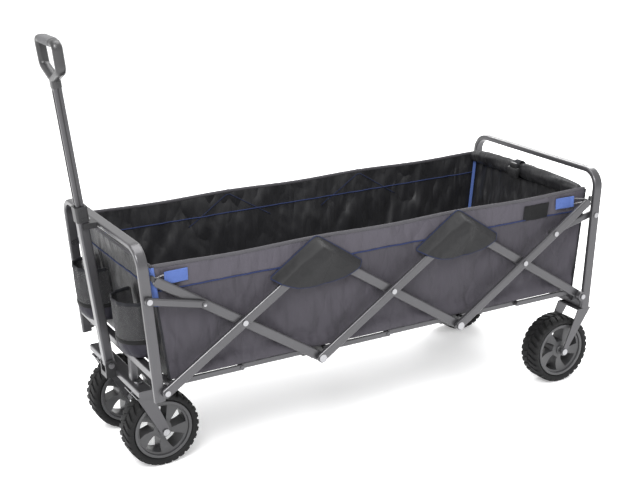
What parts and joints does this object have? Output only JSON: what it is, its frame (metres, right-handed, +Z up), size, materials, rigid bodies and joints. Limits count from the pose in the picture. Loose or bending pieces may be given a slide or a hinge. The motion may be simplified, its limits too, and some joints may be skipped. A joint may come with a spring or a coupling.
{
  "type": "folding beach cart",
  "caption": "Folding beach cart with a cloth tub in a scissor frame, swivelling front wheels, fixed rear wheels and a telescoping pull handle.",
  "frame": {"origin": "on the ground under the middle of the whole cart, with the handle up and pulled out", "axes": "+X points to the rear (push bar) end, the handle is at the -X end, +Y is the cart's right side as it is pulled, +Z is up"},
  "size_m": [1.436, 0.563, 1.0517],
  "materials": {
    "frame_paint": "satin gunmetal powder coat",
    "zinc": "zinc plated",
    "black_plastic": "moulded, satin",
    "grip_rubber": "soft, fine ribs",
    "rim_plastic": "moulded, dark grey",
    "tyre": "matte, lugged tread",
    "grey_cloth": "coated woven polyester",
    "black_cloth": "coated woven polyester",
    "pocket_cloth": "mesh over cloth",
    "blue_cloth": "woven webbing and piping"
  },
  "bodies": {
    "front_frame": {"front_hoop": "frame_paint", "front_cross_tube": "frame_paint", "front_stubs": "frame_paint", "front_beam": "frame_paint", "handle_bracket": "black_plastic", "handle_clip": "black_plastic", "front_rivets": "zinc", "front_bolts": "zinc", "tub_sides": "grey_cloth", "tub_floor_mat": "black_cloth", "tub_front": "black_cloth", "bottle_pockets": "pocket_cloth", "flaps_front": "black_cloth", "flaps_rear": "black_cloth"},
    "handle": {"handle_tube": "frame_paint", "handle_collar": "black_plastic"},
    "handle_extension": {"handle_extension": "frame_paint", "handle_grip": "black_plastic", "grip_insert": "grip_rubber"},
    "caster_left": {"caster_fork_left": "frame_paint", "front_axle_left": "zinc"},
    "caster_right": {"caster_fork_right": "frame_paint", "front_axle_right": "zinc"},
    "wheel_front_left": {"tyre_front_left": "tyre", "rim_front_left": "rim_plastic"},
    "wheel_front_right": {"tyre_front_right": "tyre", "rim_front_right": "rim_plastic"},
    "wheel_rear_left": {"tyre_rear_left": "tyre", "rim_rear_left": "rim_plastic"},
    "wheel_rear_right": {"tyre_rear_right": "tyre", "rim_rear_right": "rim_plastic"},
    "rear_frame": {"rear_hoop": "frame_paint", "rear_crossbar": "frame_paint", "rear_forks": "frame_paint", "rear_axles": "zinc", "rear_rivets": "zinc", "tub_rear": "black_cloth"},
    "arm_a1": {"arms_a1": "frame_paint", "rivets_a1": "zinc"},
    "arm_b1": {"arms_b1": "frame_paint", "end_plugs_front": "black_plastic"},
    "arm_a2": {"arms_a2": "frame_paint", "rivets_a2": "zinc"},
    "arm_b2": {"arms_b2": "frame_paint"},
    "arm_a3": {"arms_a3": "frame_paint", "rivets_a3": "zinc", "end_plugs_rear": "black_plastic"},
    "arm_b3": {"arms_b3": "frame_paint"},
    "link_front": {"links_front": "frame_paint"},
    "link_rear": {"links_rear": "frame_paint"},
    "rail_front_a": {"rail_front_a": "frame_paint"},
    "rail_front_b": {"rail_front_b": "frame_paint"},
    "rail_middle_a": {"rail_middle_a": "frame_paint"},
    "rail_middle_b": {"rail_middle_b": "frame_paint"},
    "rail_rear_a": {"rail_rear_a": "frame_paint"},
    "rail_rear_b": {"rail_rear_b": "frame_paint"},
    "hub_front": {"floor_hubs_front": "black_plastic", "floor_bar_front": "frame_paint"},
    "hub_rear": {"floor_hubs_rear": "black_plastic", "floor_bar_rear": "frame_paint"}
  },
  "joints": [
    {"name": "fold", "type": "hinge", "parent": "front_frame", "child": "arm_a1", "pos_m": [-0.57179, 0, 0.2485], "axis": [0, -1, 0], "range_deg": [0, 48.9], "deforming": ["tub_sides", "tub_floor_mat", "flaps_front", "flaps_rear"]},
    {"name": "crossing_front", "type": "hinge", "parent": "arm_a1", "child": "arm_b1", "pos_m": [-0.36781, 0, 0.38148], "axis": [0, -1, 0], "range_deg": [-97.85, 0]},
    {"name": "low_joint_front", "type": "hinge", "parent": "arm_b1", "child": "arm_a2", "pos_m": [-0.16047, 0, 0.24632], "axis": [0, -1, 0], "range_deg": [0, 97.85]},
    {"name": "crossing_middle", "type": "hinge", "parent": "arm_a2", "child": "arm_b2", "pos_m": [0.04686, 0, 0.38148], "axis": [0, -1, 0], "range_deg": [-97.85, 0]},
    {"name": "low_joint_rear", "type": "hinge", "parent": "arm_b2", "child": "arm_a3", "pos_m": [0.2542, 0, 0.24632], "axis": [0, -1, 0], "range_deg": [0, 97.85]},
    {"name": "crossing_rear", "type": "hinge", "parent": "arm_a3", "child": "arm_b3", "pos_m": [0.46153, 0, 0.38148], "axis": [0, -1, 0], "range_deg": [-97.85, 0]},
    {"name": "base_rear", "type": "hinge", "parent": "arm_b3", "child": "rear_frame", "pos_m": [0.66552, 0, 0.2485], "axis": [0, -1, 0], "range_deg": [0, 48.95]},
    {"name": "link_front_pivot", "type": "hinge", "parent": "front_frame", "child": "link_front", "pos_m": [-0.60279, 0, 0.4794], "axis": [0, -1, 0], "range_deg": [0, 83.14]},
    {"name": "link_rear_pivot", "type": "hinge", "parent": "rear_frame", "child": "link_rear", "pos_m": [0.69652, 0, 0.4794], "axis": [0, -1, 0], "range_deg": [-83.14, 0]},
    {"name": "floor_hub_front", "type": "hinge", "parent": "arm_b1", "child": "hub_front", "pos_m": [-0.16047, 0, 0.24632], "axis": [0, -1, 0], "range_deg": [0, 48.95]},
    {"name": "floor_hub_rear", "type": "hinge", "parent": "arm_b2", "child": "hub_rear", "pos_m": [0.2542, 0, 0.24632], "axis": [0, -1, 0], "range_deg": [0, 48.95]},
    {"name": "rail_front_a_pivot", "type": "hinge", "parent": "front_frame", "child": "rail_front_a", "pos_m": [-0.55114, 0, 0.258], "axis": [0, -1, 0], "range_deg": [0, 86.35]},
    {"name": "rail_front_b_pivot", "type": "hinge", "parent": "hub_front", "child": "rail_front_b", "pos_m": [-0.18447, 0, 0.258], "axis": [0, -1, 0], "range_deg": [-86.35, 0]},
    {"name": "rail_middle_a_pivot", "type": "hinge", "parent": "hub_front", "child": "rail_middle_a", "pos_m": [-0.13647, 0, 0.258], "axis": [0, -1, 0], "range_deg": [0, 86.78]},
    {"name": "rail_middle_b_pivot", "type": "hinge", "parent": "hub_rear", "child": "rail_middle_b", "pos_m": [0.2302, 0, 0.258], "axis": [0, -1, 0], "range_deg": [-86.78, 0]},
    {"name": "rail_rear_b_pivot", "type": "hinge", "parent": "hub_rear", "child": "rail_rear_b", "pos_m": [0.2782, 0, 0.258], "axis": [0, -1, 0], "range_deg": [0, 86.35]},
    {"name": "rail_rear_a_pivot", "type": "hinge", "parent": "rear_frame", "child": "rail_rear_a", "pos_m": [0.64487, 0, 0.258], "axis": [0, -1, 0], "range_deg": [-86.35, 0]},
    {"name": "handle_tilt", "type": "hinge", "parent": "front_frame", "child": "handle", "pos_m": [-0.61709, 0, 0.234], "axis": [0, -1, 0], "range_deg": [0, 95]},
    {"name": "handle_slide", "type": "slide", "parent": "handle", "child": "handle_extension", "axis": [0.108, 0, -0.9942], "range_m": [0, 0.28]},
    {"name": "caster_left_swivel", "type": "hinge", "parent": "front_frame", "child": "caster_left", "pos_m": [-0.58709, -0.1215, 0.202], "axis": [0, 0, 1], "continuous": true},
    {"name": "caster_right_swivel", "type": "hinge", "parent": "front_frame", "child": "caster_right", "pos_m": [-0.58709, 0.1215, 0.202], "axis": [0, 0, 1], "continuous": true},
    {"name": "wheel_front_left_spin", "type": "hinge", "parent": "caster_left", "child": "wheel_front_left", "pos_m": [-0.53909, -0.1215, 0.095], "axis": [0, 1, 0], "continuous": true},
    {"name": "wheel_front_right_spin", "type": "hinge", "parent": "caster_right", "child": "wheel_front_right", "pos_m": [-0.53909, 0.1215, 0.095], "axis": [0, 1, 0], "continuous": true},
    {"name": "wheel_rear_left_spin", "type": "hinge", "parent": "rear_frame", "child": "wheel_rear_left", "pos_m": [0.60982, -0.2325, 0.095], "axis": [0, 1, 0], "continuous": true},
    {"name": "wheel_rear_right_spin", "type": "hinge", "parent": "rear_frame", "child": "wheel_rear_right", "pos_m": [0.60982, 0.2325, 0.095], "axis": [0, 1, 0], "continuous": true}
  ],
  "couplings": [
    {"joint": "crossing_front", "follows": "fold", "ratio": -2},
    {"joint": "low_joint_front", "follows": "fold", "ratio": 2},
    {"joint": "crossing_middle", "follows": "fold", "ratio": -2},
    {"joint": "low_joint_rear", "follows": "fold", "ratio": 2},
    {"joint": "crossing_rear", "follows": "fold", "ratio": -2},
    {"joint": "base_rear", "follows": "fold", "ratio": 1},
    {"joint": "link_front_pivot", "follows": "fold", "ratio": 1.6992},
    {"joint": "link_rear_pivot", "follows": "fold", "ratio": -1.6992},
    {"joint": "floor_hub_front", "follows": "fold", "ratio": 1},
    {"joint": "floor_hub_rear", "follows": "fold", "ratio": 1},
    {"joint": "rail_front_a_pivot", "follows": "fold", "ratio": 1.7648},
    {"joint": "rail_front_b_pivot", "follows": "fold", "ratio": -1.7648},
    {"joint": "rail_middle_a_pivot", "follows": "fold", "ratio": 1.7737},
    {"joint": "rail_middle_b_pivot", "follows": "fold", "ratio": -1.7737},
    {"joint": "rail_rear_b_pivot", "follows": "fold", "ratio": 1.7648},
    {"joint": "rail_rear_a_pivot", "follows": "fold", "ratio": -1.7648}
  ]
}
